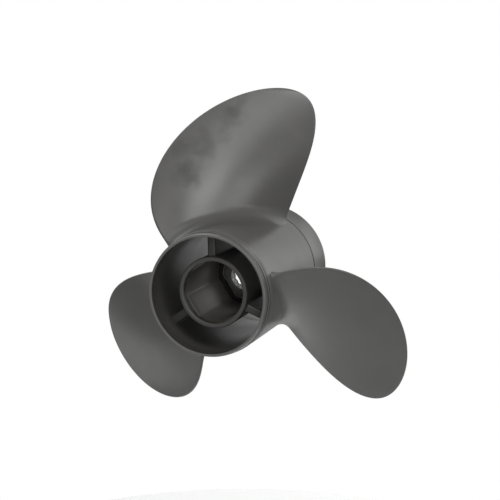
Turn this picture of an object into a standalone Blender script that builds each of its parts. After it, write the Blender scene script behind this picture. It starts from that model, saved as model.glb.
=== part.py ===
"""Three-bladed outboard boat propeller with through-hub exhaust and a rubber-cushioned drive core.

Metres, +Z up. The shaft axis is Y: -Y is the front, towards the gearcase, and +Y is aft. The origin
is on the shaft axis, halfway along the barrel with its diffuser ring. One blade points straight up.
Angles in the XZ plane are clockwise from +Z as seen from the front.
"""
from math import acos, cos, pi, radians, sin, sqrt

import bmesh
import bpy

# Fits and mesh fineness
TOUCH_GAP = 0.0003          # between pieces that touch, cast together or are pressed together
ROUND_STEPS = 64            # facets around the barrel
ARC_STEPS = 5               # facets on each flat and each corner of the hub's squared sections

# Barrel: the outer tube that the exhaust leaves through
OVERALL_LENGTH = 0.166      # front rim to the aft edge of the diffuser ring
BARREL_RADIUS = 0.054
BARREL_WALL = 0.004
RIM_TAPER = 0.0020          # how much smaller the radius is at the front rim
RIM_LENGTH = 0.0125         # front rim back to where the barrel has its full radius
GROOVE_DEPTH = 0.0009
GROOVE_WIDTH = 0.0010
RIM_GROOVES = (0.0050, 0.0085, 0.0115)      # from the front rim back to each groove
EDGE_ROUND = 0.0008

# Diffuser ring: the flared ring pressed on the aft end
RING_LENGTH = 0.027
RING_FLARE = 0.0029         # how far its aft edge stands out past the barrel
RING_WALL = 0.0032
SPIGOT_LENGTH = 0.006       # the part of the ring that sits inside the barrel
SPIGOT_WALL = 0.0017
JOINT_GROOVE = 0.0011       # the open line between the barrel and the ring

# Drive core: a metal sleeve with a splined bore in front and a seat for the shaft nut behind
CORE_LENGTH = 0.0172
SPLINE_TEETH = 15
SPLINE_ROOT_RADIUS = 0.0131
SPLINE_TOOTH_HEIGHT = 0.0006
SPLINE_LENGTH = 0.0063
BORE_LEAD_IN = 0.0026
BORE_CHAMFER = 0.0006
NUT_SEAT_STEP = 0.0031      # the nut seat is this much larger in radius than the splines' root
CORE_WALL = 0.0022          # between the nut seat and the core's flats
CORE_CORNER_REACH = 0.0032  # how far the core's corners reach past its flats
CORE_BEVEL = 0.0008

# Rubber bush around the core
BUSH_THICKNESS = 0.0033     # at the socket's flats
BUSH_SETBACK = 0.0042       # the bush's front face behind the core's front face

# Inner hub: the tube that holds the drive core
SOCKET_CORNER_REACH = 0.0021
SOCKET_TURN = radians(56)   # direction that one flat of the socket faces away from
HUB_WALL = 0.0034           # at the socket's corners
HUB_FRONT_SETBACK = 0.0151  # from the front rim to the hub's mouth
HUB_AFT_SETBACK = 0.035     # from the aft edge to the hub's aft end
MOUTH_STEP = 0.0002         # the round mouth is this much larger in radius than the socket's corners
MOUTH_DEPTH = 0.009
MOUTH_ROUND = 0.0010
NUT_WELL_DEPTH = 0.018      # open space for the shaft nut, from the hub's aft end to the core
NUT_WELL_SHOULDER = 0.0017  # the ledge that stops the bush from moving aft
NUT_WELL_FLARE = 0.0016

# Ribs between the inner hub and the barrel
RIB_COUNT = 3
RIB_TURN = radians(-6)
RIB_THICKNESS = 0.0074
RIB_HUB_SETBACK = 0.006     # front edge of the rib behind the hub's mouth
RIB_BARREL_SETBACK = 0.025  # the same edge at the barrel, behind the front rim
RIB_AFT_SETBACK = 0.004     # in front of the hub's aft end
RIB_ROUND = 0.0018

# Blades
BLADE_COUNT = 3
TIP_RADIUS = 0.1706
ROOT_PITCH = 0.5037         # advance per turn at the barrel
TIP_PITCH = 0.4647
ROOT_FRONT_MARGIN = 0.0206  # from the front rim to the front end of the blade's root
ROOT_AFT_MARGIN = 0.0077    # from the root's aft end to the barrel's aft end
RAKE = 0.0211               # straight part of the tip's set-back towards aft
RAKE_CURVE = 0.0165         # curved part of it
SPREAD_CHANGE = (-0.1251, -0.1925)          # of the half angle towards the tip; linear, square terms
SPREAD_ROUNDING = 3.85      # higher keeps the blade wide closer to its tip
MIDDLE = (-0.1647, -0.1605, 0.4785)         # of the blade's angle; constant, linear, square terms
ROOT_HALF_THICKNESS = 0.0040
TIP_HALF_THICKNESS = 0.0013
BLADE_EDGE_RADIUS = 0.0010
BACK_SHARE = 0.65           # of the section's fullness that is on the front, rounded side
ROOT_FILLET = 0.0125        # on the blade's faces
END_FILLET_SHARE = 0.15     # how much of the fillet's spread also lengthens the section
FRONT_FILLET_POWER = 2      # how late the fillet fades towards the root's front end
AFT_FILLET_POWER = 6        # the same towards its aft end
BLADE_SECTIONS = 14
EDGE_STEPS = 3
FACE_STEPS = 14
CAP_STEPS = 4

FRONT = -OVERALL_LENGTH / 2
AFT = OVERALL_LENGTH / 2
BARREL_END = AFT - RING_LENGTH - JOINT_GROOVE
BARREL_BORE = BARREL_RADIUS - BARREL_WALL
HUB_FRONT = FRONT + HUB_FRONT_SETBACK
HUB_AFT = AFT - HUB_AFT_SETBACK

NUT_SEAT_RADIUS = SPLINE_ROOT_RADIUS + NUT_SEAT_STEP
CORE_HALF_WIDTH = NUT_SEAT_RADIUS + CORE_WALL
CORE_CORNER_RADIUS = CORE_HALF_WIDTH + CORE_CORNER_REACH
SOCKET_HALF_WIDTH = CORE_CORNER_RADIUS + BUSH_THICKNESS + 2 * TOUCH_GAP
SOCKET_CORNER_RADIUS = SOCKET_HALF_WIDTH + SOCKET_CORNER_REACH
MOUTH_RADIUS = SOCKET_CORNER_RADIUS + MOUTH_STEP
HUB_RADIUS = SOCKET_CORNER_RADIUS + HUB_WALL
NUT_WELL_RADIUS = SOCKET_HALF_WIDTH - NUT_WELL_SHOULDER
CORE_AFT = HUB_AFT - NUT_WELL_DEPTH
CORE_FRONT = CORE_AFT - CORE_LENGTH

ROOT_FRONT = FRONT + ROOT_FRONT_MARGIN
ROOT_AFT = BARREL_END - ROOT_AFT_MARGIN
ROOT_RISE = ROOT_PITCH / (2 * pi)           # advance for each radian around the barrel
HALF_SPREAD = ((ROOT_AFT - ROOT_FRONT) / 2 / ROOT_RISE, *SPREAD_CHANGE)
BLADE_SHIFT = (ROOT_FRONT + ROOT_AFT) / 2 - ROOT_RISE * MIDDLE[0]


def clear_scene():
    for item in list(bpy.data.objects):
        bpy.data.objects.remove(item, do_unlink=True)


def make_material(name, colour, roughness, metallic):
    material = bpy.data.materials.new(name)
    material.use_nodes = True
    shader = material.node_tree.nodes["Principled BSDF"]
    shader.inputs["Base Color"].default_value = (*colour, 1.0)
    shader.inputs["Roughness"].default_value = roughness
    shader.inputs["Metallic"].default_value = metallic
    return material


def finish_object(name, bm, material):
    bmesh.ops.remove_doubles(bm, verts=bm.verts, dist=1e-7)
    bmesh.ops.recalc_face_normals(bm, faces=bm.faces)
    mesh = bpy.data.meshes.new(name)
    bm.to_mesh(mesh)
    bm.free()
    mesh.shade_smooth()
    mesh.set_sharp_from_angle(angle=radians(30))
    return link_object(name, mesh, material)


def link_object(name, mesh, material):
    piece = bpy.data.objects.new(name, mesh)
    if not mesh.materials:
        mesh.materials.append(None)
    piece.material_slots[0].link = "OBJECT"
    piece.material_slots[0].material = material
    bpy.context.scene.collection.objects.link(piece)
    return piece


def polar(radius, angle, y):
    return (radius * sin(angle), y, radius * cos(angle))


def add_ring(bm, radius_at, angles, y):
    """One ring of points around the shaft axis; radius_at gives the radius for an angle."""
    return [bm.verts.new(polar(radius_at(angle), angle, y)) for angle in angles]


def join_loops(bm, first, second):
    """Quads between two closed loops with the same number of points."""
    count = len(first)
    for i in range(count):
        j = (i + 1) % count
        bm.faces.new((first[i], first[j], second[j], second[i]))


def tube_body(name, stations, angles, material):
    """A closed tube whose wall section is the closed list of stations (y, radius rule)."""
    bm = bmesh.new()
    rings = [add_ring(bm, rule, angles, y) for y, rule in stations]
    for i, ring in enumerate(rings):
        join_loops(bm, ring, rings[(i + 1) % len(rings)])
    return finish_object(name, bm, material)


def even_angles(count):
    return [2 * pi * i / count for i in range(count)]


def round_rule(radius):
    return lambda angle: radius


def squared_rule(half_width, corner_radius, turn):
    """A circle with four flats: the smaller of the circle and the square, at any angle."""
    def rule(angle):
        off_flat = (angle - turn + pi / 4) % (pi / 2) - pi / 4
        return min(corner_radius, half_width / cos(off_flat))
    return rule


def squared_angles(half_width, corner_radius, turn):
    """Angles that meet each end of each flat exactly."""
    flat_half = acos(half_width / corner_radius)
    flat_step = 2 * flat_half / ARC_STEPS
    corner_step = (pi / 2 - 2 * flat_half) / ARC_STEPS
    angles = []
    for side in range(4):
        start = turn + side * pi / 2 - flat_half
        angles += [start + i * flat_step for i in range(ARC_STEPS)]
        angles += [start + 2 * flat_half + i * corner_step for i in range(ARC_STEPS)]
    return angles


def rim_radius(y):
    """Outer radius of the barrel near its front rim, before the grooves."""
    share = min(1.0, (y - FRONT) / RIM_LENGTH)
    return BARREL_RADIUS - RIM_TAPER * (1 - sqrt(share))


def groove_profile(position):
    """A V groove across the tapered rim."""
    y = FRONT + position
    half = GROOVE_WIDTH / 2
    return [
        (y - half, rim_radius(y - half)),
        (y, rim_radius(y) - GROOVE_DEPTH),
        (y + half, rim_radius(y + half)),
    ]


def make_barrel(material):
    rebate = BARREL_BORE + SPIGOT_WALL + TOUCH_GAP
    rebate_start = BARREL_END - SPIGOT_LENGTH
    outline = [(FRONT, rim_radius(FRONT) - EDGE_ROUND / 2)]
    outline.append((FRONT + EDGE_ROUND / 2, rim_radius(FRONT + EDGE_ROUND / 2)))
    for position in RIM_GROOVES:
        outline += groove_profile(position)
    outline.append((FRONT + RIM_LENGTH, BARREL_RADIUS))
    outline.append((BARREL_END - EDGE_ROUND, BARREL_RADIUS))
    outline.append((BARREL_END, BARREL_RADIUS - EDGE_ROUND))
    outline.append((BARREL_END, rebate))
    outline.append((rebate_start, rebate))
    outline.append((rebate_start, BARREL_BORE))
    outline.append((FRONT + EDGE_ROUND, BARREL_BORE))
    outline.append((FRONT, BARREL_BORE + EDGE_ROUND / 2))
    stations = [(y, round_rule(radius)) for y, radius in outline]
    return tube_body("hub_barrel", stations, even_angles(ROUND_STEPS), material)


def make_diffuser_ring(material):
    start = AFT - RING_LENGTH
    spigot_end = BARREL_END - SPIGOT_LENGTH + TOUCH_GAP
    outline = [
        (spigot_end, BARREL_BORE + SPIGOT_WALL),
        (start, BARREL_BORE + SPIGOT_WALL),
        (start, BARREL_RADIUS - EDGE_ROUND),
        (start + EDGE_ROUND, BARREL_RADIUS),
    ]
    flare_steps = 6
    for i in range(1, flare_steps + 1):
        share = i / flare_steps
        y = start + EDGE_ROUND + (RING_LENGTH - 2 * EDGE_ROUND) * share
        outline.append((y, BARREL_RADIUS + RING_FLARE * share ** 2))
    outline.append((AFT, BARREL_RADIUS + RING_FLARE - EDGE_ROUND))
    outline.append((AFT, BARREL_RADIUS + RING_FLARE - RING_WALL))
    for i in range(flare_steps - 1, 0, -1):
        share = i / flare_steps
        full = BARREL_RADIUS + RING_FLARE - RING_WALL - BARREL_BORE
        outline.append((start + RING_LENGTH * share, BARREL_BORE + full * share ** 2))
    outline.append((spigot_end, BARREL_BORE))
    stations = [(y, round_rule(radius)) for y, radius in outline]
    return tube_body("diffuser_ring", stations, even_angles(ROUND_STEPS), material)


def make_inner_hub(material):
    socket = squared_rule(SOCKET_HALF_WIDTH, SOCKET_CORNER_RADIUS, SOCKET_TURN)
    socket_front = HUB_FRONT + MOUTH_DEPTH
    socket_end = CORE_AFT + TOUCH_GAP
    stations = [
        (HUB_FRONT + MOUTH_ROUND, round_rule(HUB_RADIUS)),
        (HUB_AFT, round_rule(HUB_RADIUS)),
        (HUB_AFT, round_rule(NUT_WELL_RADIUS + NUT_WELL_FLARE)),
        (socket_end, round_rule(NUT_WELL_RADIUS)),
        (socket_end, socket),
        (socket_front, socket),
        (socket_front, round_rule(MOUTH_RADIUS)),
        (HUB_FRONT + MOUTH_ROUND / 2, round_rule(MOUTH_RADIUS)),
        (HUB_FRONT, round_rule(MOUTH_RADIUS + MOUTH_ROUND / 2)),
        (HUB_FRONT, round_rule(HUB_RADIUS - MOUTH_ROUND)),
    ]
    angles = squared_angles(SOCKET_HALF_WIDTH, SOCKET_CORNER_RADIUS, SOCKET_TURN)
    return tube_body("inner_hub", stations, angles, material)


def make_rubber_bush(material):
    outer = squared_rule(
        SOCKET_HALF_WIDTH - TOUCH_GAP, SOCKET_CORNER_RADIUS - TOUCH_GAP, SOCKET_TURN
    )
    hole = round_rule(CORE_CORNER_RADIUS + TOUCH_GAP)
    stations = [
        (CORE_FRONT + BUSH_SETBACK, outer),
        (CORE_AFT, outer),
        (CORE_AFT, hole),
        (CORE_FRONT + BUSH_SETBACK, hole),
    ]
    angles = squared_angles(
        SOCKET_HALF_WIDTH - TOUCH_GAP, SOCKET_CORNER_RADIUS - TOUCH_GAP, SOCKET_TURN
    )
    return tube_body("rubber_bush", stations, angles, material)


def spline_rule(angle):
    """Radius of the splined bore: a tooth on half of each pitch, with sloping flanks."""
    pitch = 2 * pi / SPLINE_TEETH
    place = ((angle - SOCKET_TURN) / pitch) % 1.0
    distance = abs(place - 0.5)
    share = min(1.0, max(0.0, (0.30 - distance) / 0.10))
    return SPLINE_ROOT_RADIUS - SPLINE_TOOTH_HEIGHT * share


def core_angles():
    """The corners of the core's outside together with the corners of its spline teeth."""
    pitch = 2 * pi / SPLINE_TEETH
    teeth = []
    for tooth in range(SPLINE_TEETH):
        teeth += [SOCKET_TURN + (tooth + place) * pitch for place in (0.2, 0.3, 0.7, 0.8)]
    outside = squared_angles(CORE_HALF_WIDTH, CORE_CORNER_RADIUS, SOCKET_TURN)
    spare = radians(0.6)
    merged = []
    for angle in sorted(a % (2 * pi) for a in teeth + outside):
        if not merged or angle - merged[-1] > spare:
            merged.append(angle)
    return merged


def make_drive_core(material):
    outside = squared_rule(CORE_HALF_WIDTH, CORE_CORNER_RADIUS, SOCKET_TURN)
    bevelled = squared_rule(
        CORE_HALF_WIDTH - CORE_BEVEL, CORE_CORNER_RADIUS - CORE_BEVEL, SOCKET_TURN
    )
    spline_start = CORE_FRONT + BORE_LEAD_IN
    spline_end = spline_start + SPLINE_LENGTH
    stations = [
        (CORE_FRONT + CORE_BEVEL, outside),
        (CORE_AFT, outside),
        (CORE_AFT, round_rule(NUT_SEAT_RADIUS)),
        (spline_end, round_rule(NUT_SEAT_RADIUS)),
        (spline_end, spline_rule),
        (spline_start, spline_rule),
        (spline_start, round_rule(SPLINE_ROOT_RADIUS + BORE_CHAMFER / 4)),
        (CORE_FRONT + BORE_CHAMFER, round_rule(SPLINE_ROOT_RADIUS + BORE_CHAMFER / 4)),
        (CORE_FRONT, round_rule(SPLINE_ROOT_RADIUS + BORE_CHAMFER)),
        (CORE_FRONT, bevelled),
    ]
    return tube_body("drive_core", stations, core_angles(), material)


def make_rib(number, material):
    """A plate from the inner hub to the barrel, made pointing up and then turned into place."""
    inner = HUB_RADIUS + TOUCH_GAP
    half = RIB_THICKNESS / 2
    outer = sqrt((BARREL_BORE - TOUCH_GAP) ** 2 - half ** 2) - TOUCH_GAP / 2
    aft = HUB_AFT - RIB_AFT_SETBACK
    outline = [
        (HUB_FRONT + RIB_HUB_SETBACK, inner),
        (FRONT + RIB_BARREL_SETBACK, outer),
        (aft, outer),
        (aft, inner),
    ]
    bm = bmesh.new()
    left = [bm.verts.new((-half, y, z)) for y, z in outline]
    face = bm.faces.new(left)
    grown = bmesh.ops.extrude_face_region(bm, geom=[face])
    moved = [item for item in grown["geom"] if isinstance(item, bmesh.types.BMVert)]
    bmesh.ops.translate(bm, verts=moved, vec=(RIB_THICKNESS, 0, 0))
    bm.normal_update()
    front_faces = [f for f in bm.faces if f.normal.y < -0.3 or f.normal.y > 0.3]
    edges = []
    for f in front_faces:
        edges += [e for e in f.edges if abs(e.verts[0].co.x - e.verts[1].co.x) < half]
    bmesh.ops.bevel(
        bm, geom=edges, offset=RIB_ROUND, segments=3, profile=0.5, affect="EDGES", clamp_overlap=True
    )
    rib = finish_object(f"rib_{number}", bm, material)
    rib.rotation_euler = (0, RIB_TURN + 2 * pi * (number - 1) / RIB_COUNT, 0)
    return rib


def terms(values, share):
    """A polynomial in share with the given coefficients."""
    return sum(value * share ** power for power, value in enumerate(values))


def root_flare(radius):
    """Extra half thickness of the round fillet between blade and barrel."""
    height = radius - BARREL_RADIUS
    if height >= ROOT_FILLET:
        return 0.0
    return ROOT_FILLET - sqrt(ROOT_FILLET ** 2 - (ROOT_FILLET - height) ** 2)


def blade_row(share):
    """Sizes of the section at a share of the way from barrel to tip."""
    radius = BARREL_RADIUS + share * (TIP_RADIUS - BARREL_RADIUS)
    closing = sqrt(max(0.0, 1 - share ** SPREAD_ROUNDING))
    half_chord = closing * terms(HALF_SPREAD, share)
    full = ROOT_HALF_THICKNESS + share * (TIP_HALF_THICKNESS - ROOT_HALF_THICKNESS)
    edge_shrink = sqrt(max(0.0, 1 - share ** 60))
    return {
        "radius": radius,
        "middle": terms(MIDDLE, share),
        "half_angle": half_chord,
        "pitch": ROOT_PITCH + share * (TIP_PITCH - ROOT_PITCH),
        "back": BLADE_SHIFT + RAKE * share + RAKE_CURVE * share ** 2,
        "fullness": (full - BLADE_EDGE_RADIUS) * closing,
        "edge": BLADE_EDGE_RADIUS * edge_shrink,
        "flare": root_flare(radius),
    }


def blade_point(row, along, across):
    """A point from its angle off the blade's reference line and its height off the mean surface."""
    radius = row["radius"]
    rise = row["pitch"] / (2 * pi * radius)
    slope = 1 / sqrt(1 + rise ** 2)
    angle = along - rise * slope * across / radius
    y = row["back"] + row["pitch"] / (2 * pi) * along + slope * across
    return polar(radius, angle, y)


def chord_places(half_length, edge):
    """Places along the chord, from one end to the other, closer together on the round edges."""
    turns = [1 - cos(pi / 2 * i / EDGE_STEPS) for i in range(EDGE_STEPS + 1)]
    start = [-half_length + edge * turn for turn in turns]
    span = 2 * (half_length - edge)
    middle = [-span / 2 * cos(pi * i / FACE_STEPS) for i in range(1, FACE_STEPS)]
    return start + middle + [-place for place in reversed(start)]


def fillet_fade(place):
    """Share of the fillet that is left at a place from -1, the front end, to 1, the aft end."""
    power = FRONT_FILLET_POWER if place < 0 else AFT_FILLET_POWER
    return sqrt(max(0.0, 1 - abs(place) ** power))


def section_columns(row):
    """For each place along the chord: its angle, and the heights of the front and aft faces."""
    radius = row["radius"]
    rise = row["pitch"] / (2 * pi * radius)
    stretch = radius * sqrt(1 + rise ** 2)
    half_length = row["half_angle"] * stretch + END_FILLET_SHARE * row["flare"]
    edge = min(row["edge"], half_length)
    columns = []
    for place in chord_places(half_length, edge):
        inset = half_length - abs(place)
        rounding = edge * sqrt(max(0.0, 1 - max(0.0, 1 - inset / edge) ** 2))
        bulge = 1 - (place / half_length) ** 2
        spread = rounding + row["flare"] * fillet_fade(place / half_length)
        full = 2 * row["fullness"] * bulge
        front = -spread - BACK_SHARE * full
        aft = spread + (1 - BACK_SHARE) * full
        columns.append((row["middle"] + place / stretch, front, aft))
    return columns


def section_loop(bm, row):
    columns = section_columns(row)
    front = [bm.verts.new(blade_point(row, angle, low)) for angle, low, high in columns]
    aft = [bm.verts.new(blade_point(row, angle, high)) for angle, low, high in columns[1:-1]]
    return front, aft


def close_root(bm, row, front, aft):
    """Close the root with strips that follow the barrel's curve."""
    columns = section_columns(row)
    grid = [[front[0]] * (CAP_STEPS + 1)]
    for i, (angle, low, high) in enumerate(columns[1:-1]):
        inner = []
        for step in range(1, CAP_STEPS):
            height = low + (high - low) * step / CAP_STEPS
            inner.append(bm.verts.new(blade_point(row, angle, height)))
        grid.append([front[i + 1]] + inner + [aft[i]])
    grid.append([front[-1]] * (CAP_STEPS + 1))
    for here, after in zip(grid, grid[1:]):
        for step in range(CAP_STEPS):
            corners = [here[step], here[step + 1], after[step + 1], after[step]]
            unique = list(dict.fromkeys(corners))
            bm.faces.new(unique)


def blade_mesh():
    """The blade that points up, from its root just off the barrel to its tip."""
    span = TIP_RADIUS - BARREL_RADIUS
    first = TOUCH_GAP / span
    fillet_end = ROOT_FILLET / span
    fillet_steps = 4
    shares = [first + (fillet_end - first) * (i / fillet_steps) ** 1.5 for i in range(fillet_steps)]
    for i in range(BLADE_SECTIONS):
        shares.append(fillet_end + (1 - fillet_end) * sin(pi / 2 * i / BLADE_SECTIONS))
    bm = bmesh.new()
    loops = []
    for share in shares:
        front, aft = section_loop(bm, blade_row(share))
        loops.append(front + aft[::-1])
        if share == shares[0]:
            close_root(bm, blade_row(share), front, aft)
    for lower, upper in zip(loops, loops[1:]):
        join_loops(bm, lower, upper)
    tip_row = blade_row(1.0)
    tip = bm.verts.new(blade_point(tip_row, tip_row["middle"], 0.0))
    for i, vert in enumerate(loops[-1]):
        bm.faces.new((vert, loops[-1][(i + 1) % len(loops[-1])], tip))
    return bm


def make_blades(material):
    first = finish_object("blade_1", blade_mesh(), material)
    for number in range(2, BLADE_COUNT + 1):
        blade = link_object(f"blade_{number}", first.data, material)
        blade.rotation_euler = (0, 2 * pi * (number - 1) / BLADE_COUNT, 0)


def main():
    clear_scene()
    barrel_paint = make_material("barrel_paint", (0.075, 0.074, 0.071), 0.42, 0.25)
    hub_paint = make_material("hub_paint", (0.060, 0.059, 0.056), 0.48, 0.25)
    rib_paint = make_material("rib_paint", (0.055, 0.055, 0.052), 0.50, 0.25)
    blade_paint = make_material("blade_paint", (0.080, 0.079, 0.076), 0.40, 0.25)
    ring_paint = make_material("ring_paint", (0.070, 0.069, 0.067), 0.45, 0.25)
    rubber = make_material("bush_rubber", (0.012, 0.012, 0.012), 0.75, 0.0)
    core_metal = make_material("core_metal", (0.16, 0.155, 0.148), 0.38, 0.7)
    make_barrel(barrel_paint)
    make_diffuser_ring(ring_paint)
    make_inner_hub(hub_paint)
    make_rubber_bush(rubber)
    make_drive_core(core_metal)
    for number in range(1, RIB_COUNT + 1):
        make_rib(number, rib_paint)
    make_blades(blade_paint)


main()
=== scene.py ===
from math import cos, pi, radians, sin, sqrt

import bmesh
import bpy
from mathutils import Matrix, Vector


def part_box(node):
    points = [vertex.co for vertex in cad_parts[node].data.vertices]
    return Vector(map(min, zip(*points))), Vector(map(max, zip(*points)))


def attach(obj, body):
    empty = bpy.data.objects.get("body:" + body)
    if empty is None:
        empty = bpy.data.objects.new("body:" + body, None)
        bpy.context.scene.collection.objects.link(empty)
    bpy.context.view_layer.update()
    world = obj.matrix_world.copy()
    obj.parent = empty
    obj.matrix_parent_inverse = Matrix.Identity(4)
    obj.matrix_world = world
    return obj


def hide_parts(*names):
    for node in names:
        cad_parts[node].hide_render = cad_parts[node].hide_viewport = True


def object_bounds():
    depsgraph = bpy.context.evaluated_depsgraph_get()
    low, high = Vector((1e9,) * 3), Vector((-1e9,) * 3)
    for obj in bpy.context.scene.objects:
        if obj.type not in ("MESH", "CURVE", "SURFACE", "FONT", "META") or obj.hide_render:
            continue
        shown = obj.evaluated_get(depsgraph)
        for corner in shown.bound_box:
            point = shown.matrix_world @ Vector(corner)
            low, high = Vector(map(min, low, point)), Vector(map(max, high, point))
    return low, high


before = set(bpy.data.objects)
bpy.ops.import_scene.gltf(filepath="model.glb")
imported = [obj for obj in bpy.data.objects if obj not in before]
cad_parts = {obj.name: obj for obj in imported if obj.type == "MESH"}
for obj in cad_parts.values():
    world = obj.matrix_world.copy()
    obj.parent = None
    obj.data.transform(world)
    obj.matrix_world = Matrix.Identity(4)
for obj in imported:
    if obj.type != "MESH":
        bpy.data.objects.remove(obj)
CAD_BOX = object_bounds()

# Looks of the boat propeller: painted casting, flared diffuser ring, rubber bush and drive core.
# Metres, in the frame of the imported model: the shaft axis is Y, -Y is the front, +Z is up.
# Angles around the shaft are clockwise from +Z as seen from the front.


def radius_of(node):
    """Outer radius of a round node, from its width."""
    low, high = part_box(node)
    return (high[0] - low[0]) / 2


def span_of(node):
    """Front and aft ends of a node along the shaft."""
    low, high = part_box(node)
    return low[1], high[1]


# Sizes read from the frame
BARREL_RADIUS = radius_of("hub_barrel")
BARREL_FRONT, BARREL_AFT = span_of("hub_barrel")
RING_RADIUS = radius_of("diffuser_ring")
RING_START, RING_AFT = span_of("diffuser_ring")
HUB_RADIUS = radius_of("inner_hub")
HUB_FRONT, HUB_AFT = span_of("inner_hub")
CORE_FRONT, CORE_AFT = span_of("drive_core")
BUSH_FRONT, BUSH_AFT = span_of("rubber_bush")

# Barrel and ring
BARREL_WALL = 0.004
RIM_TAPER = 0.0020
RIM_LENGTH = 0.0125
RIM_GROOVES = (
    # distance from the front edge, half width and depth; made wide, so that they show at a slant
    (0.0050, 0.0011, 0.0014),
    (0.0085, 0.0008, 0.0010),
    (0.0115, 0.0005, 0.0005),
)
NOSE_INNER_ROUND = 0.0006
NOSE_OUTER_ROUND = 0.0005
SHOULDER_ROUND = 0.0008
POCKET_SETBACK = 0.004
POCKET_HALF_SIZES = (0.0019, 0.0010, 0.0010)
SPIGOT_LENGTH = 0.006
SPIGOT_WALL = 0.0017
RING_LENGTH = 0.027
RING_FLARE = 0.0029
RING_WALL = 0.0032
FIT_GAP = 0.0003
AROUND = 256
SHARP_ANGLE = radians(38)
WELD_DISTANCE = 1e-6

# Hub, bush and core
SOCKET_TURN = radians(56)
SOCKET_HALF_WIDTH = 0.0255
SOCKET_CORNER_RADIUS = 0.0276
MOUTH_RADIUS = 0.0278
MOUTH_DEPTH = 0.009
MOUTH_LIP_RADIUS = 0.0270
LIP_INNER_ROUND = 0.0010
LIP_OUTER_ROUND = 0.0014
NUT_WELL_RADIUS = 0.0238
NUT_WELL_FLARE = 0.0016
CORE_HALF_WIDTH = 0.0184
CORE_CORNER_RADIUS = 0.0216
CORE_EDGE = 0.0011
BORE_RADIUS = 0.0131
BORE_LEAD_IN = 0.0026
BORE_CHAMFER = 0.0006
SPLINE_TEETH = 15
SPLINE_HEIGHT = 0.0006
SPLINE_LENGTH = 0.0063
SPLINE_RUN_ON = 0.0010
NUT_SEAT_RADIUS = 0.0162

# Ribs
RIB_TURN = radians(-6)
RIB_HALF_THICKNESS = 0.0037
RIB_HUB_SETBACK = 0.006
RIB_BARREL_SETBACK = 0.025
RIB_AFT_SETBACK = 0.004
RIB_FILLET = 0.0022
RIB_NOSE = 0.0018

# Blades
BLADE_SIZES = {
    "Barrel Radius": BARREL_RADIUS,
    "Tip Radius": 0.17036,
    "Root Pitch": 0.5037,
    "Tip Pitch": 0.4647,
    "Shift": 0.0056,
    "Rake": 0.0211,
    "Rake Curve": 0.0165,
    "Half Spread": 0.6837,
    "Spread Linear": -0.1251,
    "Spread Square": -0.1925,
    "Spread Rounding": 3.85,
    "Middle": -0.1647,
    "Middle Linear": -0.1605,
    "Middle Square": 0.4785,
    "Root Half Thickness": 0.0040,
    "Tip Half Thickness": 0.0013,
    "Edge Radius": 0.0010,
    "Back Share": 0.65,
    "Fillet": 0.0125,
    "End Fillet Share": 0.15,
    "Root Depth": 0.0015,
}
# Dull marks left by handling on the top blade's front face, as place, size and strength
BLADE_FACING = (0.38, -0.80, 0.46)
MARK_STANDOFF = 0.012
TOP_BLADE_MARKS = (
    ((-0.0409, -0.0167, 0.0963), 0.0160, 0.75),
    ((-0.0490, -0.0200, 0.0900), 0.0100, 0.35),
    ((-0.0366, 0.0008, 0.1225), 0.0150, 0.55),
    ((-0.0508, -0.0078, 0.1167), 0.0130, 0.40),
    ((-0.0300, -0.0010, 0.1130), 0.0120, 0.35),
    ((-0.0215, 0.0118, 0.1295), 0.0130, 0.50),
    ((-0.0152, 0.0215, 0.1425), 0.0140, 0.55),
    ((-0.0100, 0.0285, 0.1510), 0.0110, 0.45),
)
BLADE_ROWS = 130
BLADE_COLUMNS = 120

# Paint and coats, with painted light and shade
PAINT_DARK = (0.055, 0.054, 0.052)
PAINT_LIGHT = (0.068, 0.067, 0.064)
PAINT_ROUGHNESS = 0.32
HUB_ROUGHNESS = 0.36
GLOSS_SPREAD = 0.04
MARK_DARKENING = 0.45
MARK_DULLNESS = 0.10
MARK_WANDER = 0.024
# Painted shade: dark bands along the first two rim grooves and along the barrel-ring joint, where shade
# falls in the gaps.
SEAM_PAINTED_SHADE = (0.008, 0.008, 0.0075, 1)
SEAM_SHADE_STRENGTH = 0.95
SEAM_SHADE_WIDENING = 1.2
JOINT_SHADE_HALF_WIDTH = 0.0009
# Painted highlight: lighter bands on the front rim's edge and on a second edge behind it.
LIP_HIGHLIGHT_STRENGTH = 0.6
LIP_HIGHLIGHT_BRIGHTENING = 2.2
# Painted shade: a dark band on the socket mouth's wall just behind the lip.
MOUTH_PAINTED_SHADE = (0.010, 0.010, 0.009, 1)
COAT_EDGE = 0.0006
INSIDE_TONE_DEPTH = 0.060
# The coat and painted light and shade inside a bore, as reach from the shaft, start, near and deep colour,
# and added dullness.
# In the barrel a darker inside paint carries painted shade behind the rim that lightens inwards; the
# socket's tone grows much lighter inwards, which is painted light as much as a paint.
BARREL_COAT_AND_SHADE = (BARREL_RADIUS - BARREL_WALL + 0.0004, BARREL_FRONT + 0.0003,
               (0.021, 0.020, 0.0175), (0.050, 0.048, 0.043), 0.05)
SOCKET_COAT_AND_LIGHT = (0.0284, HUB_FRONT + MOUTH_DEPTH - 0.0008,
               (0.060, 0.056, 0.049), (0.30, 0.285, 0.255), 0.06)


# ---------------------------------------------------------------- paints

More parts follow.
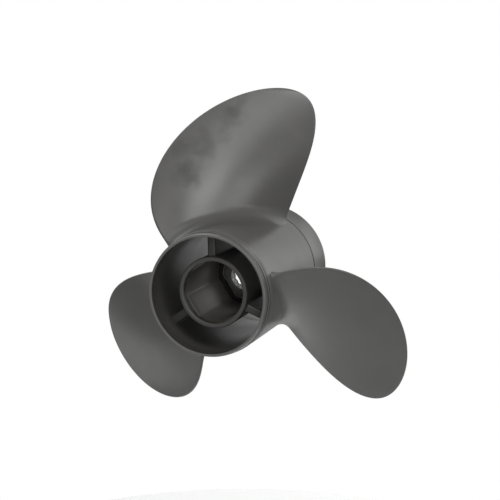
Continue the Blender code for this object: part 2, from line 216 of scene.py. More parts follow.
class Nodes:
    """Short calls for building a material's node tree."""

    def __init__(self, name):
        self.material = bpy.data.materials.new(name)
        self.material.use_nodes = True
        self.tree = self.material.node_tree
        self.shader = self.tree.nodes["Principled BSDF"]
        self.place = self.tree.nodes.new("ShaderNodeTexCoord").outputs["Object"]

    def add(self, kind, **inputs):
        node = self.tree.nodes.new(kind)
        for name, value in inputs.items():
            self.feed(node.inputs[name.replace("_", " ")], value)
        return node

    def feed(self, socket, value):
        if isinstance(value, bpy.types.NodeSocket):
            self.tree.links.new(value, socket)
        else:
            socket.default_value = value

    def noise(self, scale, detail=3.0, roughness=0.55, vector=None):
        node = self.add("ShaderNodeTexNoise", Scale=scale, Detail=detail, Roughness=roughness)
        self.feed(node.inputs["Vector"], vector or self.place)
        return node.outputs["Fac"]

    def remap(self, value, low, high, to_low, to_high):
        node = self.tree.nodes.new("ShaderNodeMapRange")
        for socket, item in zip(node.inputs, (value, low, high, to_low, to_high)):
            self.feed(socket, item)
        return node.outputs["Result"]

    def maths(self, operation, *values):
        node = self.tree.nodes.new("ShaderNodeMath")
        node.operation = operation
        for socket, item in zip(node.inputs, values):
            self.feed(socket, item)
        return node.outputs["Value"]

    def blend(self, factor, first, second):
        node = self.tree.nodes.new("ShaderNodeMix")
        node.data_type = "RGBA"
        self.feed(node.inputs["Factor"], factor)
        self.feed(node.inputs[6], first)
        self.feed(node.inputs[7], second)
        return node.outputs[2]

    def bump(self, height, strength, distance, normal=None):
        node = self.add("ShaderNodeBump", Strength=strength, Distance=distance, Height=height)
        if normal:
            self.feed(node.inputs["Normal"], normal)
        return node.outputs["Normal"]


def satin_paint(name, roughness, marks=(), inside=None, corners=None, shaded_seams=(), highlight_lips=()):
    """Sprayed satin paint over a casting: mottled tone, orange peel and a little cast unevenness, and where
    asked painted shade in grooves, painted highlights on rim edges and painted light and shade inside
    bores.
    """
    n = Nodes(name)
    cloud = n.remap(n.noise(16, 4, 0.6), 0.35, 0.65, 0.0, 1.0)
    grain = n.noise(1300, 2, 0.5)
    tone = n.maths("ADD", n.maths("MULTIPLY", cloud, 0.7), n.maths("MULTIPLY", grain, 0.3))
    colour = n.blend(tone, (*PAINT_DARK, 1), (*PAINT_LIGHT, 1))
    gloss = n.remap(n.noise(30, 2, 0.5), 0.3, 0.7, roughness - GLOSS_SPREAD, roughness + GLOSS_SPREAD)
    for mark in marks:
        shade = handling_mark(n, *mark)
        colour = n.blend(shade, colour, (*[tint * MARK_DARKENING for tint in PAINT_DARK], 1))
        gloss = n.maths("ADD", gloss, n.maths("MULTIPLY", shade, MARK_DULLNESS))
    # Painted shade in the rim grooves and at the barrel-ring joint.
    for y, half_width in shaded_seams:
        colour = n.blend(shaft_band(n, y, half_width, SEAM_SHADE_STRENGTH), colour, SEAM_PAINTED_SHADE)
    # Painted highlights on the rim's edges.
    for y, half_width in highlight_lips:
        painted_highlight = (*[tint * LIP_HIGHLIGHT_BRIGHTENING for tint in PAINT_LIGHT], 1)
        colour = n.blend(shaft_band(n, y, half_width, LIP_HIGHLIGHT_STRENGTH), colour, painted_highlight)
    if inside:
        # Inside a bore the tone ramps from the near to the deep colour with depth: painted shade behind the
        # barrel's rim, painted light deep in the socket.
        reach, start, near_tone, deep_tone, dullness = inside
        bore = n.remap(shaft_distance(n), reach - COAT_EDGE, reach, 1.0, 0.0)
        bore = n.maths("MULTIPLY", bore, n.remap(shaft_place(n), start, start + COAT_EDGE, 0.0, 1.0))
        depth = n.remap(shaft_place(n), start, start + INSIDE_TONE_DEPTH, 0.0, 1.0)
        inner_tone = n.blend(depth, (*near_tone, 1), (*deep_tone, 1))
        patchy = n.remap(n.noise(70, 4, 0.6), 0.3, 0.7, 0.80, 1.0)
        # Painted shade: the socket's round corners are drawn part way toward the near tone, and a dark band
        # is painted on the mouth wall behind the lip.
        if corners:
            corner = n.remap(shaft_distance(n), corners - 0.0003, corners, 0.0, 0.35)
            inner_tone = n.blend(corner, inner_tone, (*near_tone, 1))
            mouth = n.remap(shaft_distance(n), reach - COAT_EDGE, reach, 1.0, 0.0)
            mouth = n.maths("SUBTRACT", mouth, bore)
            behind_lip = n.remap(shaft_place(n), start - 0.0070, start - 0.0055, 0.0, 0.85)
            colour = n.blend(n.maths("MULTIPLY", mouth, behind_lip), colour, MOUTH_PAINTED_SHADE)
        colour = n.blend(n.maths("MULTIPLY", bore, patchy), colour, inner_tone)
        gloss = n.maths("ADD", gloss, n.maths("MULTIPLY", bore, dullness))
    casting = n.bump(n.noise(60, 3, 0.5), 0.20, 0.0006)
    peel = n.bump(n.noise(700, 2, 0.4), 0.22, 0.00008, casting)
    n.feed(n.shader.inputs["Normal"], peel)
    n.feed(n.shader.inputs["Base Color"], colour)
    n.feed(n.shader.inputs["Roughness"], gloss)
    n.shader.inputs["Specular IOR Level"].default_value = 0.5
    return n.material


def shaft_place(n):
    """Place of a point along the shaft."""
    parts = n.tree.nodes.new("ShaderNodeSeparateXYZ")
    n.feed(parts.inputs[0], n.place)
    return parts.outputs["Y"]


def shaft_band(n, y, half_width, strength):
    """A band round the shaft at one place along it, with soft sides."""
    off = n.maths("ABSOLUTE", n.maths("SUBTRACT", shaft_place(n), y))
    return n.remap(off, half_width * 0.6, half_width, strength, 0.0)


def shaft_distance(n):
    """Distance of a point from the shaft axis."""
    parts = n.tree.nodes.new("ShaderNodeSeparateXYZ")
    n.feed(parts.inputs[0], n.place)
    across = n.maths("MULTIPLY", parts.outputs["X"], parts.outputs["X"])
    upward = n.maths("MULTIPLY", parts.outputs["Z"], parts.outputs["Z"])
    return n.maths("SQRT", n.maths("ADD", across, upward))


def handling_mark(n, centre, size, strength):
    """A soft-edged dull patch on one face, from a ball that stands off the other way."""
    wander = n.add("ShaderNodeTexNoise", Scale=60.0, Detail=4.0)
    n.feed(wander.inputs["Vector"], n.place)
    shift = n.tree.nodes.new("ShaderNodeVectorMath")
    shift.operation = "MULTIPLY_ADD"
    n.feed(shift.inputs[0], wander.outputs["Color"])
    shift.inputs[1].default_value = (MARK_WANDER, MARK_WANDER, MARK_WANDER)
    n.feed(shift.inputs[2], n.place)
    gap = n.tree.nodes.new("ShaderNodeVectorMath")
    gap.operation = "DISTANCE"
    n.feed(gap.inputs[0], shift.outputs["Vector"])
    above = Vector(centre) + Vector(BLADE_FACING) * MARK_STANDOFF
    gap.inputs[1].default_value = above + Vector((1, 1, 1)) * (MARK_WANDER / 2)
    reach = sqrt(size ** 2 + MARK_STANDOFF ** 2)
    return n.remap(gap.outputs["Value"], MARK_STANDOFF + 0.0004, reach, strength, 0.0)


def rubber_finish(name):
    n = Nodes(name)
    tone = n.noise(240, 4, 0.6)
    n.feed(n.shader.inputs["Base Color"], n.blend(tone, (0.006, 0.006, 0.006, 1), (0.018, 0.018, 0.017, 1)))
    n.feed(n.shader.inputs["Roughness"], n.remap(n.noise(90, 3), 0.3, 0.7, 0.66, 0.82))
    n.feed(n.shader.inputs["Normal"], n.bump(n.noise(1500, 3), 0.3, 0.00008))
    return n.material


def core_finish(name):
    """Dark coated machined metal: fine turning marks around the shaft axis under a satin coat, with a
    near-white front bevel and bore lead-in that is part bare worn metal, part painted highlight.
    """
    n = Nodes(name)
    reach = shaft_distance(n)
    rings = n.maths("SINE", n.maths("MULTIPLY", reach, 9000.0))
    cloud = n.remap(n.noise(90, 4, 0.6), 0.3, 0.7, 0.0, 1.0)
    coat = n.blend(cloud, (0.10, 0.098, 0.091, 1), (0.145, 0.142, 0.133, 1))
    # Painted highlight, partly bare wear: the front bevel and the bore's lead-in get a near-white colour.
    bevel = shaft_band(n, CORE_FRONT + CORE_EDGE * 0.6, CORE_EDGE * 0.6, 1.0)
    outside = n.remap(reach, BORE_RADIUS + 0.0030, BORE_RADIUS + 0.0034, 0.0, 1.0)
    lead = shaft_band(n, CORE_FRONT + 0.0030, 0.0027, 1.0)
    hole = n.remap(reach, BORE_RADIUS + 0.0006, BORE_RADIUS + 0.0009, 1.0, 0.0)
    worn_and_highlight = n.maths("MAXIMUM", n.maths("MULTIPLY", bevel, outside), n.maths("MULTIPLY", lead, hole))
    n.feed(n.shader.inputs["Base Color"], n.blend(worn_and_highlight, coat, (0.80, 0.79, 0.76, 1)))
    n.feed(n.shader.inputs["Roughness"], n.remap(n.noise(160, 3), 0.3, 0.7, 0.36, 0.50))
    n.shader.inputs["Metallic"].default_value = 0.2
    n.feed(n.shader.inputs["Normal"], n.bump(rings, 0.12, 0.00004))
    return n.material


# ---------------------------------------------------------------- meshes

def polar(radius, angle, y):
    return Vector((radius * sin(angle), y, radius * cos(angle)))


def finish_piece(name, bm, material, body, slot, *nodes):
    """Weld, face outwards, shade and hand the piece to the frame."""
    bmesh.ops.remove_doubles(bm, verts=bm.verts, dist=WELD_DISTANCE)
    bmesh.ops.recalc_face_normals(bm, faces=bm.faces)
    mesh = bpy.data.meshes.new(name)
    bm.to_mesh(mesh)
    bm.free()
    mesh.materials.append(material)
    mesh.shade_smooth()
    mesh.set_sharp_from_angle(angle=SHARP_ANGLE)
    piece = bpy.data.objects.new(name, mesh)
    bpy.context.scene.collection.objects.link(piece)
    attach(piece, body)
    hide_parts(*nodes)
    return piece


def wall_of_rings(stations, angles):
    """A closed tube; each station is a place along the shaft and a rule for the radius."""
    bm = bmesh.new()
    rings = []
    for y, rule in stations:
        rings.append([bm.verts.new(polar(rule(angle), angle, y)) for angle in angles])
    count = len(angles)
    for i, ring in enumerate(rings):
        following = rings[(i + 1) % len(rings)]
        for k in range(count):
            j = (k + 1) % count
            bm.faces.new((ring[k], ring[j], following[j], following[k]))
    return bm


def even_angles(count):
    return [2 * pi * i / count for i in range(count)]


def circle(radius):
    return lambda angle: radius


def turned(outline):
    return wall_of_rings([(y, circle(radius)) for y, radius in outline], even_angles(AROUND))


def corner_arc(corner, before, after, size, steps=4):
    """Points that round the corner of an outline between its two neighbours."""
    corner = Vector(corner)
    start = corner + (Vector(before) - corner).normalized() * size
    end = corner + (Vector(after) - corner).normalized() * size
    points = []
    for i in range(steps + 1):
        share = i / steps
        a = start.lerp(corner, share)
        b = corner.lerp(end, share)
        points.append(tuple(a.lerp(b, share)))
    return points


def rounded(outline):
    """An outline of (y, radius, rounding) points with each corner rounded by its own amount."""
    result = []
    count = len(outline)
    for i, (y, radius, size) in enumerate(outline):
        if size == 0:
            result.append((y, radius))
            continue
        before = outline[i - 1][:2]
        after = outline[(i + 1) % count][:2]
        result += corner_arc((y, radius), before, after, size)
    return result


def squared(half_width, corner_radius, softness=350):
    """A circle with four flats; softness is how sharply the flats meet the round corners."""
    def rule(angle):
        off_flat = (angle - SOCKET_TURN + pi / 4) % (pi / 2) - pi / 4
        flat = half_width / cos(off_flat)
        return corner_radius * (1 + (corner_radius / flat) ** softness) ** (-1 / softness)
    return rule


# ---------------------------------------------------------------- casting

def rim_radius(y):
    share = min(1.0, max(0.0, (y - BARREL_FRONT) / RIM_LENGTH))
    return BARREL_RADIUS - RIM_TAPER * (1 - sqrt(share))


def make_barrel(paint):
    bore = BARREL_RADIUS - BARREL_WALL
    rebate = bore + SPIGOT_WALL + FIT_GAP
    rebate_start = BARREL_AFT - SPIGOT_LENGTH
    outline = [(BARREL_FRONT, rim_radius(BARREL_FRONT), NOSE_OUTER_ROUND)]
    for position, half_width, depth in RIM_GROOVES:
        y = BARREL_FRONT + position
        outline += [
            (y - half_width, rim_radius(y - half_width), 0.0002),
            (y, rim_radius(y) - depth, 0.0003),
            (y + half_width, rim_radius(y + half_width), 0.0002),
        ]
    outline += [
        (BARREL_FRONT + RIM_LENGTH + 0.0005, BARREL_RADIUS, 0.0003),
        (BARREL_AFT, BARREL_RADIUS, SHOULDER_ROUND),
        (BARREL_AFT, rebate, 0.0003),
        (rebate_start, rebate, 0.0003),
        (rebate_start, bore, 0.0003),
        (BARREL_FRONT, bore, NOSE_INNER_ROUND),
    ]
    bm = cut_pockets(turned(rounded(outline)), bore)
    return finish_piece("barrel_tube", bm, paint, "casting", "casting_paint", "hub_barrel")


def cut_pockets(bm, bore):
    """Three small oval pockets in the bore behind the front rim, one in line with each rib."""
    bmesh.ops.recalc_face_normals(bm, faces=bm.faces)
    tube = mesh_object("pocket_tube", bm)
    cutters = bmesh.new()
    for number in range(3):
        turn = Matrix.Rotation(RIB_TURN + 2 * pi * number / 3, 4, "Y")
        place = Matrix.Translation((0, BARREL_FRONT + POCKET_SETBACK, bore + 0.0002))
        shape = Matrix.Diagonal((*POCKET_HALF_SIZES, 1))
        bmesh.ops.create_icosphere(cutters, subdivisions=4, radius=1, matrix=turn @ place @ shape)
    tool = mesh_object("pocket_tool", cutters)
    cut = tube.modifiers.new("pockets", "BOOLEAN")
    cut.operation = "DIFFERENCE"
    cut.object = tool
    graph = bpy.context.evaluated_depsgraph_get()
    result = bmesh.new()
    result.from_mesh(tube.evaluated_get(graph).to_mesh())
    bpy.data.objects.remove(tube)
    bpy.data.objects.remove(tool)
    return result


def mesh_object(name, bm):
    """A scene object from a bmesh, which is used up."""
    mesh = bpy.data.meshes.new(name)
    bm.to_mesh(mesh)
    bm.free()
    item = bpy.data.objects.new(name, mesh)
    bpy.context.scene.collection.objects.link(item)
    return item


def make_ring(paint):
    bore = BARREL_RADIUS - BARREL_WALL
    start = RING_AFT - RING_LENGTH
    outline = [
        (RING_START, bore + SPIGOT_WALL, 0.0003),
        (start, bore + SPIGOT_WALL, 0.0003),
        (start, BARREL_RADIUS, SHOULDER_ROUND),
    ]
    steps = 16
    for i in range(1, steps):
        share = i / steps
        outline.append((start + RING_LENGTH * share, BARREL_RADIUS + RING_FLARE * share ** 2, 0))
    outline.append((RING_AFT, RING_RADIUS, SHOULDER_ROUND))
    outline.append((RING_AFT, RING_RADIUS - RING_WALL, SHOULDER_ROUND))
    inner_flare = RING_RADIUS - RING_WALL - bore
    for i in range(steps - 1, 0, -1):
        share = i / steps
        outline.append((start + RING_LENGTH * share, bore + inner_flare * share ** 2, 0))
    outline.append((RING_START, bore, 0.0004))
    bm = turned(rounded(outline))
    return finish_piece("flared_ring", bm, paint, "casting", "ring_paint", "diffuser_ring")


def blend_rules(first, second, share):
    return lambda angle: first(angle) * (1 - share) + second(angle) * share


def make_inner_hub(paint):
    """The hub tube: rounded mouth, squared socket with small ledges, and the well behind the bush."""
    socket = squared(SOCKET_HALF_WIDTH, SOCKET_CORNER_RADIUS)
    ledge = HUB_FRONT + MOUTH_DEPTH
    stations = []
    for turn_steps, centre, size, start in (
            (6, MOUTH_LIP_RADIUS + LIP_INNER_ROUND, LIP_INNER_ROUND, pi),
            (6, HUB_RADIUS - LIP_OUTER_ROUND, LIP_OUTER_ROUND, pi / 2)):
        for i in range(turn_steps + 1):
            turn = start - pi / 2 * i / turn_steps
            stations.append((HUB_FRONT + size - size * sin(turn), circle(centre + size * cos(turn))))
    stations += [
        (HUB_AFT - 0.0008, circle(HUB_RADIUS)),
        (HUB_AFT, circle(HUB_RADIUS - 0.0008)),
        (HUB_AFT, circle(NUT_WELL_RADIUS + NUT_WELL_FLARE + 0.0004)),
        (HUB_AFT - 0.0004, circle(NUT_WELL_RADIUS + NUT_WELL_FLARE)),
        (BUSH_AFT + FIT_GAP, circle(NUT_WELL_RADIUS)),
        (BUSH_AFT + FIT_GAP, socket),
    ]
    rows = 24
    for i in range(1, rows):
        y = BUSH_AFT + (ledge + 0.0006 - BUSH_AFT) * i / rows
        stations.append((y, socket))
    stations += [
        (ledge + 0.0006, socket),
        (ledge + 0.0002, blend_rules(socket, circle(MOUTH_RADIUS), 0.12)),
        (ledge, blend_rules(socket, circle(MOUTH_RADIUS), 0.35)),
        (ledge - 0.0001, blend_rules(socket, circle(MOUTH_RADIUS), 0.85)),
        (ledge - 0.0006, circle(MOUTH_RADIUS)),
        (HUB_FRONT + 0.0030, circle(MOUTH_LIP_RADIUS + 0.0001)),
    ]
    bm = wall_of_rings(stations, even_angles(AROUND))
    return finish_piece("hub_tube", bm, paint, "casting", "casting_paint", "inner_hub")


def rib_outline(inner, outer, half):
    """One cross-section of a rib: a plate whose ends spread into fillets at the hub and barrel."""
    heights = []
    steps = 6
    for i in range(steps + 1):
        turn = pi / 2 * i / steps
        heights.append((inner + RIB_FILLET * (1 - cos(turn)), RIB_FILLET * (1 - sin(turn))))
    for i in range(steps, -1, -1):
        turn = pi / 2 * i / steps
        heights.append((outer - RIB_FILLET * (1 - cos(turn)), RIB_FILLET * (1 - sin(turn))))
    return [(x_side * (half + spread), z) for x_side, order in ((1, 1), (-1, -1))
            for z, spread in heights[::order]]


def make_rib(number, paint):
    """A web between hub and barrel with a rounded, sloping front edge."""
    inner = HUB_RADIUS - 0.0004
    outer = BARREL_RADIUS - BARREL_WALL + 0.0004
    hub_edge = HUB_FRONT + RIB_HUB_SETBACK
    barrel_edge = BARREL_FRONT + RIB_BARREL_SETBACK
    aft = HUB_AFT - RIB_AFT_SETBACK
    nose_steps = 6
    stations = [(1 - cos(pi / 2 * i / nose_steps), sin(pi / 2 * i / nose_steps))
                for i in range(nose_steps + 1)]
    bm = bmesh.new()
    loops = []
    turn = Matrix.Rotation(RIB_TURN + 2 * pi * (number - 1) / 3, 4, "Y")

    def add_loop(back, share, from_aft=False):
        loop = []
        half = (RIB_HALF_THICKNESS - RIB_NOSE) + RIB_NOSE * share
        for x, z in rib_outline(inner, outer, half):
            height = (z - inner) / (outer - inner)
            if from_aft:
                y = aft - back
            else:
                y = hub_edge + (barrel_edge - hub_edge) * height + back
            loop.append(bm.verts.new(turn @ Vector((x, y, z))))
        loops.append(loop)

    for back, share in stations:
        add_loop(back * RIB_NOSE, share)
    for back, share in reversed(stations):
        add_loop(back * RIB_NOSE, share, from_aft=True)
    for first, second in zip(loops, loops[1:]):
        for k in range(len(first)):
            j = (k + 1) % len(first)
            bm.faces.new((first[k], first[j], second[j], second[k]))
    for loop in (loops[0], loops[-1]):
        close_rib_end(bm, loop)
    return finish_piece(f"rib_web_{number}", bm, paint, "casting", "casting_paint", f"rib_{number}")


def close_rib_end(bm, loop):
    """Quads across a rib's end, between the points of its two sides."""
    side = len(loop) // 2
    for k in range(side - 1):
        bm.faces.new((loop[k], loop[k + 1], loop[-2 - k], loop[-1 - k]))


# ---------------------------------------------------------------- blades

class Field:
    """A value that varies over a mesh inside a Geometry Nodes tree, written as ordinary sums."""

    def __init__(self, tree, socket):
        self.tree = tree
        self.socket = socket

    def run(self, operation, *others):
        node = self.tree.nodes.new("ShaderNodeMath")
        node.operation = operation
        for socket, value in zip(node.inputs, (self, *others)):
            if isinstance(value, Field):
                self.tree.links.new(value.socket, socket)
            else:
                socket.default_value = value
        return Field(self.tree, node.outputs[0])

    def __add__(self, other):
        return self.run("ADD", other)

    def __sub__(self, other):
        return self.run("SUBTRACT", other)

    def __mul__(self, other):
        return self.run("MULTIPLY", other)

    def __truediv__(self, other):
        return self.run("DIVIDE", other)

    def flipped(self, whole=1.0):
        """whole minus this value."""
        return (self * -1) + whole

    def root(self):
        return self.run("MAXIMUM", 0.0).run("SQRT")

    def power(self, exponent):
        return self.run("POWER", exponent)

    def at_least(self, low):
        return self.run("MAXIMUM", low)

    def at_most(self, high):
        return self.run("MINIMUM", high)

    def size(self):
        return self.run("ABSOLUTE")

    def above(self, limit):
        return self.run("GREATER_THAN", limit)

    def sine(self):
        return self.run("SINE")

    def cosine(self):
        return self.run("COSINE")


def new_tree(name, sizes):
    """A Geometry Nodes tree with a named float input for each size and one geometry output."""
    tree = bpy.data.node_groups.new(name, "GeometryNodeTree")
    tree.interface.new_socket("Geometry", in_out="OUTPUT", socket_type="NodeSocketGeometry")
    for size, value in sizes.items():
        socket = tree.interface.new_socket(size, in_out="INPUT", socket_type="NodeSocketFloat")
        socket.default_value = value
    tree.interface.new_socket("Finish", in_out="INPUT", socket_type="NodeSocketMaterial")
    return tree


def blade_tree():
    """A sheet of rows and columns wrapped round the blade's section and bent into its screw shape."""
    tree = new_tree("blade_surface", {"Turn": 0.0, **BLADE_SIZES})
    given = tree.nodes.new("NodeGroupInput")
    size = {name: Field(tree, given.outputs[name]) for name in ("Turn", *BLADE_SIZES)}
    sheet = tree.nodes.new("GeometryNodeMeshGrid")
    sheet.inputs["Size X"].default_value = 1.0
    sheet.inputs["Size Y"].default_value = 1.0
    sheet.inputs["Vertices X"].default_value = BLADE_COLUMNS + 1
    sheet.inputs["Vertices Y"].default_value = BLADE_ROWS
    place = tree.nodes.new("GeometryNodeInputPosition")
    parts = tree.nodes.new("ShaderNodeSeparateXYZ")
    tree.links.new(place.outputs[0], parts.inputs[0])
    around = Field(tree, parts.outputs["X"]) + 0.5
    row = (Field(tree, parts.outputs["Y"]) + 0.5) * (BLADE_ROWS - 1)
    x, y, z = blade_surface(size, around, row)
    join = tree.nodes.new("ShaderNodeCombineXYZ")
    for socket, value in zip(join.inputs, (x, y, z)):
        tree.links.new(value.socket, socket)
    bend = tree.nodes.new("GeometryNodeSetPosition")
    tree.links.new(sheet.outputs["Mesh"], bend.inputs["Geometry"])
    tree.links.new(join.outputs[0], bend.inputs["Position"])
    weld = tree.nodes.new("GeometryNodeMergeByDistance")
    weld.inputs["Distance"].default_value = WELD_DISTANCE
    smooth = tree.nodes.new("GeometryNodeSetShadeSmooth")
    solid = tree.nodes.new("GeometryNodeRealizeInstances")
    coat = tree.nodes.new("GeometryNodeSetMaterial")
    tree.links.new(given.outputs["Finish"], coat.inputs["Material"])
    output = tree.nodes.new("NodeGroupOutput")
    chain = (bend, weld, smooth, solid, coat, output)
    for first, second in zip(chain, chain[1:]):
        tree.links.new(first.outputs["Geometry"], second.inputs["Geometry"])
    return tree


def blade_surface(size, around, row):
    """Where a point of the sheet lies on the blade.

    Rows run from inside the barrel wall to the tip. Columns run along the front face from the
    leading edge to the trailing edge, and back along the aft face.
    """
    inside = row.flipped(1.5).above(0.0)
    step = (row - 2.0).at_least(0.0) / (BLADE_ROWS - 3)
    share = (step * pi).cosine().flipped() * 0.5
    span = size["Tip Radius"] - size["Barrel Radius"]
    radius = size["Barrel Radius"] + span * share - size["Root Depth"] * inside
    height = (span * share).at_most(size["Fillet"])
    left = size["Fillet"] - height
    flare = size["Fillet"] - (size["Fillet"] * size["Fillet"] - left * left).root()

    closing = share.power(size["Spread Rounding"]).flipped().root()
    spread = size["Half Spread"] + size["Spread Linear"] * share
    spread = (spread + size["Spread Square"] * share * share) * closing
    middle = size["Middle"] + size["Middle Linear"] * share + size["Middle Square"] * share * share
    pitch = size["Root Pitch"] + (size["Tip Pitch"] - size["Root Pitch"]) * share
    rise = pitch / radius / (2 * pi)
    stretch = radius * (rise * rise + 1.0).root()
    half_length = spread * stretch + size["End Fillet Share"] * flare

    along = (around * 2.0 - 1.0).size().flipped() * pi
    place = along.cosine() * -1.0
    inset = (place.size().flipped() * half_length) / size["Edge Radius"]
    edge_fade = share.power(60.0).flipped().root()
    lip = inset.flipped().at_least(0.0)
    rounding = (lip * lip).flipped().root() * size["Edge Radius"] * edge_fade
    thick = size["Root Half Thickness"]
    thick = thick + (size["Tip Half Thickness"] - size["Root Half Thickness"]) * share
    bulge = (place * place).flipped()
    full = (thick - size["Edge Radius"]) * closing * bulge * 2.0
    front_fade = bulge.root()
    aft_fade = place.size().power(6.0).flipped().root()
    is_aft_half = place.above(0.0)
    fade = front_fade + (aft_fade - front_fade) * is_aft_half
    body = rounding + flare * fade
    on_front = around.flipped().above(0.5)
    front = (body + size["Back Share"] * full) * -1.0
    aft = body + (size["Back Share"] * full * -1.0 + full)
    across = aft + (front - aft) * on_front
    across = across * row.above(0.5)

    lean = (rise * rise + 1.0).root().power(-1.0)
    angle = middle + place * half_length / stretch
    depth = size["Shift"] + size["Rake"] * share + size["Rake Curve"] * share * share
    y = depth + pitch / (2 * pi) * angle + lean * across
    angle = angle - rise * lean * across / radius + size["Turn"]
    return radius * angle.sine(), y, radius * angle.cosine()


def make_blades(paints):
    tree = blade_tree()
    for number, paint in enumerate(paints, start=1):
        holder = bpy.data.objects.new("blade_holder", bpy.data.meshes.new("blade_holder"))
        bpy.context.scene.collection.objects.link(holder)
        modifier = holder.modifiers.new("blade_surface", "NODES")
        modifier.node_group = tree
        settings = {"Turn": 2 * pi * (number - 1) / 3, "Finish": paint}
        for item in tree.interface.items_tree:
            if item.in_out == "INPUT" and item.name in settings:
                modifier[item.identifier] = settings[item.name]
        graph = bpy.context.evaluated_depsgraph_get()
        mesh = bpy.data.meshes.new_from_object(holder.evaluated_get(graph), depsgraph=graph)
        bpy.data.objects.remove(holder)
        bm = bmesh.new()
        bm.from_mesh(mesh)
        finish_piece(f"blade_skin_{number}", bm, paint, "casting", "casting_paint", f"blade_{number}")


# ---------------------------------------------------------------- bush and core

def make_bush(rubber):
    """The rubber ring with softly rounded edges. Its round hole clears the core's corners."""
    outer = squared(SOCKET_HALF_WIDTH - FIT_GAP, SOCKET_CORNER_RADIUS - FIT_GAP)
    soft = 0.0008
    smaller = squared(SOCKET_HALF_WIDTH - FIT_GAP - soft, SOCKET_CORNER_RADIUS - FIT_GAP - soft)
    easing = squared(SOCKET_HALF_WIDTH - FIT_GAP - soft * 0.3,
                     SOCKET_CORNER_RADIUS - FIT_GAP - soft * 0.3)
    hole = CORE_CORNER_RADIUS + FIT_GAP
    stations = [
        (BUSH_FRONT, smaller),
        (BUSH_FRONT + soft * 0.3, easing),
        (BUSH_FRONT + soft, outer),
        (BUSH_AFT, outer),
        (BUSH_AFT, circle(hole)),
        (BUSH_FRONT + soft, circle(hole)),
        (BUSH_FRONT + soft * 0.3, circle(hole + soft * 0.3)),
        (BUSH_FRONT, circle(hole + soft)),
    ]
    bm = wall_of_rings(stations, even_angles(AROUND))
    return finish_piece("cushion_ring", bm, rubber, "casting", "bush_rubber", "rubber_bush")


def spline(angle):
    """Radius of the splined bore: a tooth with sloping sides on half of each pitch."""
    place = ((angle - SOCKET_TURN) * SPLINE_TEETH / (2 * pi)) % 1.0
    share = min(1.0, max(0.0, (0.30 - abs(place - 0.5)) / 0.10))
    return BORE_RADIUS - SPLINE_HEIGHT * share


def make_core(metal):
    """The drive core: bevelled square front, lead-in, splines and the seat for the nut's washer."""
    outside = squared(CORE_HALF_WIDTH, CORE_CORNER_RADIUS)

    def stepped(inset):
        return squared(CORE_HALF_WIDTH - inset, CORE_CORNER_RADIUS - inset)

    spline_start = CORE_FRONT + BORE_LEAD_IN
    spline_end = spline_start + SPLINE_LENGTH + SPLINE_RUN_ON
    lead = BORE_RADIUS + BORE_CHAMFER / 4
    bevel = CORE_EDGE
    stations = [
        (CORE_FRONT, stepped(bevel)),
        (CORE_FRONT + bevel * 0.12, stepped(bevel * 0.7)),
        (CORE_FRONT + bevel * 0.7, stepped(bevel * 0.12)),
        (CORE_FRONT + bevel, outside),
        (CORE_AFT - 0.0005, outside),
        (CORE_AFT, stepped(0.0005)),
        (CORE_AFT, circle(NUT_SEAT_RADIUS + 0.0004)),
        (CORE_AFT - 0.0004, circle(NUT_SEAT_RADIUS)),
        (spline_end, circle(NUT_SEAT_RADIUS)),
        (spline_end, spline),
        (spline_start + 0.0005, spline),
        (spline_start, circle(lead)),
        (CORE_FRONT + BORE_CHAMFER, circle(lead)),
        (CORE_FRONT + BORE_CHAMFER * 0.3, circle(lead + BORE_CHAMFER * 0.3)),
        (CORE_FRONT, circle(BORE_RADIUS + BORE_CHAMFER)),
    ]
    bm = wall_of_rings(stations, even_angles(SPLINE_TEETH * 20))
    return finish_piece("core_sleeve", bm, metal, "core", "core_metal", "drive_core")


# ---------------------------------------------------------------- studio

def add_softbox(name, place, width, power):
    """A square soft light that faces the object."""
    light = bpy.data.lights.new(name, "AREA")
    light.shape = "RECTANGLE"
    light.size = width
    light.size_y = width
    light.energy = power
    lamp = bpy.data.objects.new(name, light)
    bpy.context.scene.collection.objects.link(lamp)
    lamp.location = place
    lamp.rotation_euler = (-place).to_track_quat("-Z", "Y").to_euler()


LIGHT_DISTANCE = 1.6
SOFTBOXES = (
    # name, azimuth, elevation, width, power
    ("key_softbox", 60, 45, 0.6, 7.8),
    ("high_softbox", 30, 45, 0.6, 3.4),
    ("front_softbox", 26, 9, 0.5, 3.2),
    ("right_softbox", 75, 20, 0.6, 4.4),
    ("top_softbox", 0, 74, 0.6, 3.0),
    ("rear_softbox", 143, 18, 1.1, 3.8),
    ("left_fill", -85, -12, 0.6, 1.7),
    ("back_softbox", 234, 44, 1.2, 11.0),
    ("left_softbox", 268, 44, 1.0, 2.4),
)
ROOM_LIGHT = 0.41
BACKDROP_LIGHT = 0.62
BACKDROP_START, BACKDROP_FULL = 0.75, 0.95     # how squarely a direction faces aft
FLOOR_DROP = 0.25
FLOOR_RADIUS = 0.43


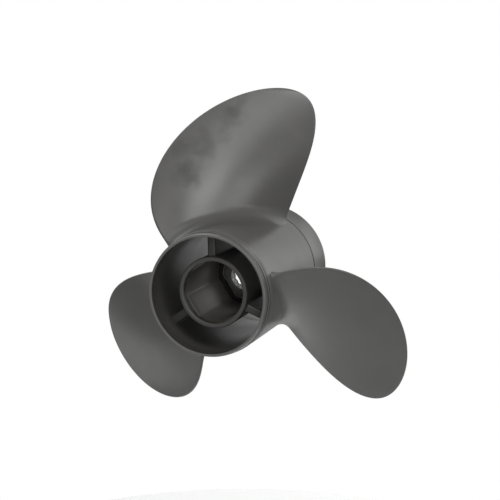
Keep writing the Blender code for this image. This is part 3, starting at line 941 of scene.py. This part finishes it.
def make_studio():
    """Soft boxes round the object, a dim room that is brighter behind it, and a pale round floor.

    The camera sees the room as plain white.
    """
    world = bpy.data.worlds.new("studio")
    bpy.context.scene.world = world
    world.use_nodes = True
    tree = world.node_tree
    room = tree.nodes["Background"]
    room.inputs["Color"].default_value = (1, 1, 1, 1)
    facing = tree.nodes.new("ShaderNodeTexCoord")
    parts = tree.nodes.new("ShaderNodeSeparateXYZ")
    wall = tree.nodes.new("ShaderNodeMapRange")
    tree.links.new(facing.outputs["Generated"], parts.inputs[0])
    tree.links.new(parts.outputs["Y"], wall.inputs["Value"])
    levels = (BACKDROP_START, BACKDROP_FULL, ROOM_LIGHT, BACKDROP_LIGHT)
    for socket, value in zip(wall.inputs[1:5], levels):
        socket.default_value = value
    tree.links.new(wall.outputs["Result"], room.inputs["Strength"])
    backdrop = tree.nodes.new("ShaderNodeBackground")
    backdrop.inputs["Color"].default_value = (1, 1, 1, 1)
    backdrop.inputs["Strength"].default_value = 1.0
    rays = tree.nodes.new("ShaderNodeLightPath")
    choice = tree.nodes.new("ShaderNodeMixShader")
    tree.links.new(rays.outputs["Is Camera Ray"], choice.inputs["Fac"])
    tree.links.new(room.outputs[0], choice.inputs[1])
    tree.links.new(backdrop.outputs[0], choice.inputs[2])
    tree.links.new(choice.outputs[0], tree.nodes["World Output"].inputs["Surface"])
    for name, azimuth, elevation, width, power in SOFTBOXES:
        place = outward(radians(azimuth), radians(elevation)) * LIGHT_DISTANCE
        add_softbox(name, place, width, power)
    make_floor()


def make_floor():
    bpy.ops.mesh.primitive_circle_add(vertices=96, radius=FLOOR_RADIUS, fill_type="NGON",
                                      location=(0, 0, CAD_BOX[0][2] - FLOOR_DROP))
    floor = bpy.context.object
    floor.name = "pale_floor"
    n = Nodes("floor_paper")
    tone = n.noise(2.0, 2)
    pale = n.blend(tone, (0.88, 0.88, 0.88, 1), (0.91, 0.91, 0.91, 1))
    n.feed(n.shader.inputs["Base Color"], pale)
    n.shader.inputs["Roughness"].default_value = 0.9
    floor.data.materials.append(n.material)


# The camera's place: around the shaft from straight ahead, and above it
CAMERA_DISTANCE = 1.0413
CAMERA_AZIMUTH = radians(19.97)
CAMERA_ELEVATION = radians(11.09)
LOOK_AZIMUTH = radians(19.46)
LOOK_ELEVATION = radians(9.69)
LENS = 83.06


def outward(azimuth, elevation):
    return Vector((sin(azimuth) * cos(elevation), -cos(azimuth) * cos(elevation), sin(elevation)))


def make_camera():
    camera = bpy.data.objects.new("camera", bpy.data.cameras.new("camera"))
    bpy.context.scene.collection.objects.link(camera)
    camera.data.lens = LENS
    camera.location = outward(CAMERA_AZIMUTH, CAMERA_ELEVATION) * CAMERA_DISTANCE
    camera.rotation_euler = (-outward(LOOK_AZIMUTH, LOOK_ELEVATION)).to_track_quat("-Z", "Y").to_euler()
    bpy.context.scene.camera = camera


def main():
    make_camera()
    make_studio()
    bpy.context.scene.view_settings.view_transform = "Standard"
    # Painted shade along the first two rim grooves and the barrel-ring joint.
    groove_shades = [(BARREL_FRONT + position, half_width * SEAM_SHADE_WIDENING)
               for position, half_width, depth in RIM_GROOVES[:2]]
    joint_shade = (RING_AFT - RING_LENGTH, JOINT_SHADE_HALF_WIDTH)
    # The barrel paint also carries painted highlights on two rim edges and painted shade inside the bore
    # behind the rim.
    body_paint_and_shade = satin_paint(
        "barrel_paint", PAINT_ROUGHNESS, inside=BARREL_COAT_AND_SHADE, shaded_seams=[*groove_shades, joint_shade],
        highlight_lips=[(BARREL_FRONT, 0.0008), (BARREL_FRONT + 0.0067, 0.0006)])
    # The hub paint carries painted light deep in the socket and painted shade in its corners and mouth.
    hub_paint = satin_paint(
        "hub_paint", HUB_ROUGHNESS, inside=SOCKET_COAT_AND_LIGHT, corners=SOCKET_CORNER_RADIUS)
    ring_paint = satin_paint("ring_paint", PAINT_ROUGHNESS, shaded_seams=[joint_shade])
    marks = (TOP_BLADE_MARKS, (), ())
    blade_paints = [satin_paint(f"blade_paint_{number}", PAINT_ROUGHNESS, marks[number - 1])
                    for number in (1, 2, 3)]
    make_barrel(body_paint_and_shade)
    make_ring(ring_paint)
    make_inner_hub(hub_paint)
    for number in (1, 2, 3):
        make_rib(number, hub_paint)
    make_blades(blade_paints)
    make_bush(rubber_finish("bush_rubber"))
    make_core(core_finish("core_coat"))


main()
